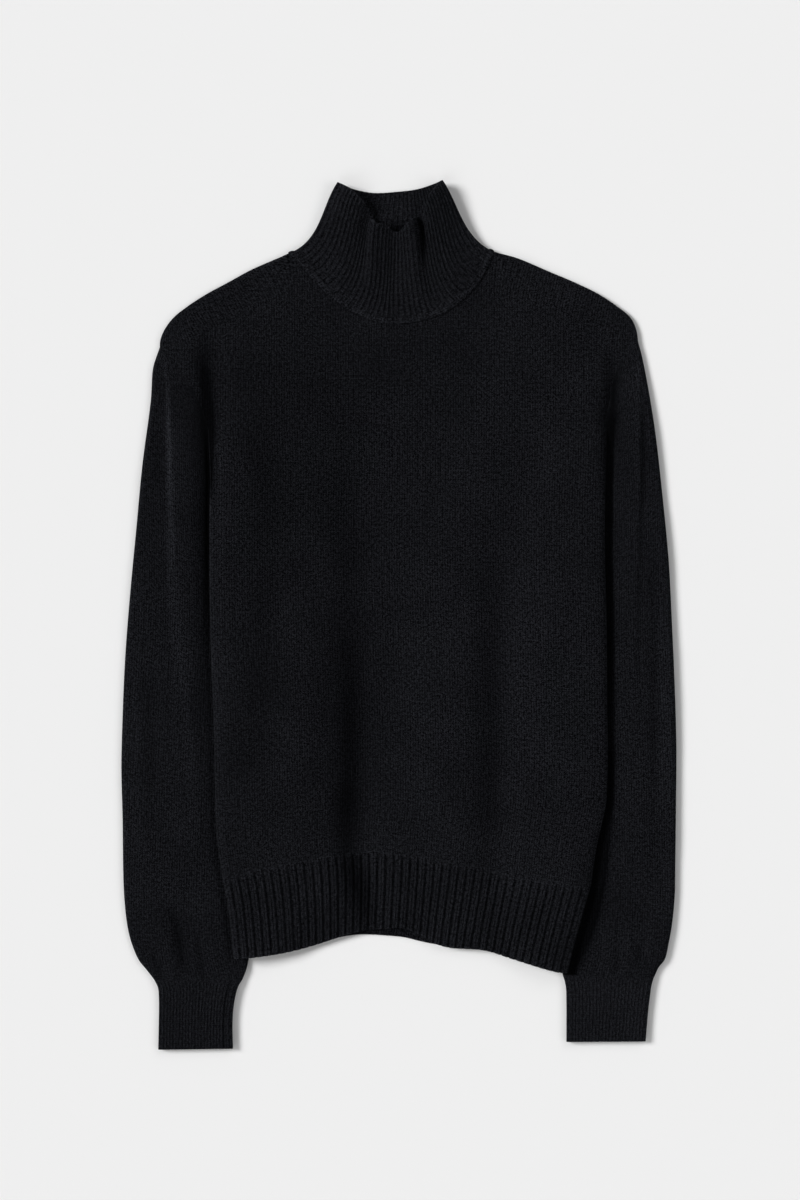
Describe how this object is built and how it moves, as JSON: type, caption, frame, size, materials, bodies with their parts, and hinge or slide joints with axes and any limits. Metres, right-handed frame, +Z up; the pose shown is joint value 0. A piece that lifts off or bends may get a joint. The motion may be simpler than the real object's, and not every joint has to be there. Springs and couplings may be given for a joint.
{
  "type": "turtleneck sweater",
  "caption": "Plain-knit long-sleeved sweater with a ribbed funnel turtleneck, hem and cuffs, laid flat on its back with the sleeves beside and partly under the body.",
  "frame": {"origin": "middle of the laid garment's footprint, on the surface it lies on", "axes": "+Z up from the surface, +Y from the hem towards the collar, +X towards the wearer's left sleeve"},
  "size_m": [0.5005, 0.7831, 0.0224],
  "materials": {
    "plain_knit": "matte black wool knit, stockinette",
    "rib_knit": "matte black wool knit, ribbed"
  },
  "bodies": {
    "root": {"body_front": "plain_knit", "body_back": "plain_knit", "sleeve_right": "plain_knit", "sleeve_left": "plain_knit", "hem_front": "rib_knit", "hem_back": "rib_knit", "cuff_right": "rib_knit", "cuff_left": "rib_knit", "collar": "rib_knit"}
  },
  "joints": []
}
